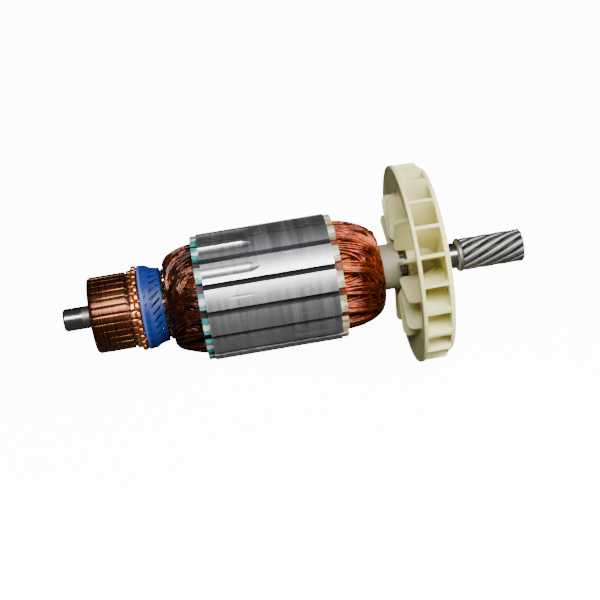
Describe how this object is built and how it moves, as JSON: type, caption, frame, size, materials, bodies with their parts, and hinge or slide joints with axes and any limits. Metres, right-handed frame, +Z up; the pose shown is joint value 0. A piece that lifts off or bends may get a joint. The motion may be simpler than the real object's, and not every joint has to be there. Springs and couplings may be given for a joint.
{
  "type": "motor armature",
  "caption": "Universal-motor armature: hooked commutator, slotted core with end turns, radial fan with inlet paddles and a helical pinion on one shaft.",
  "frame": {"origin": "centre of the underside of the bounding box, on the floor that the armature rests on", "axes": "+X from the commutator end to the pinion end along the floor, +Z up; the shaft lies in the XZ plane and rises towards +X, because the fan's rim and the near edge of the core touch the floor"},
  "size_m": [0.1618, 0.0702, 0.0702],
  "materials": {
    "shaft_steel": "ground",
    "gear_steel": "hardened, hobbed",
    "core_steel": "turned laminations",
    "commutator_copper": "turned, tarnished copper",
    "mica": "matte",
    "brown_moulding": "matte",
    "enamelled_wire": "glossy enamel over copper",
    "varnished_wire": "dark varnish over copper",
    "blue_resin": "glossy",
    "black_cord": "varnished cord",
    "insulator": "matte",
    "liner": "varnished paper",
    "wedge": "matte",
    "sleeve": "matte",
    "fan_plastic": "satin"
  },
  "bodies": {
    "root": {"shaft": "shaft_steel", "commutator_bars": "commutator_copper", "commutator_mica": "mica", "commutator_moulding": "brown_moulding", "commutator_bush": "shaft_steel", "lead_wires": "enamelled_wire", "lead_band": "blue_resin", "binding_cord": "black_cord", "core": "core_steel", "end_insulator_commutator": "insulator", "end_insulator_fan": "insulator", "slot_liners": "liner", "slot_wedges": "wedge", "slot_coils": "enamelled_wire", "end_turns_commutator": "varnished_wire", "end_turns_fan": "enamelled_wire", "insulating_sleeve": "sleeve", "fan": "fan_plastic", "pinion_collar": "gear_steel", "pinion": "gear_steel"}
  },
  "joints": []
}
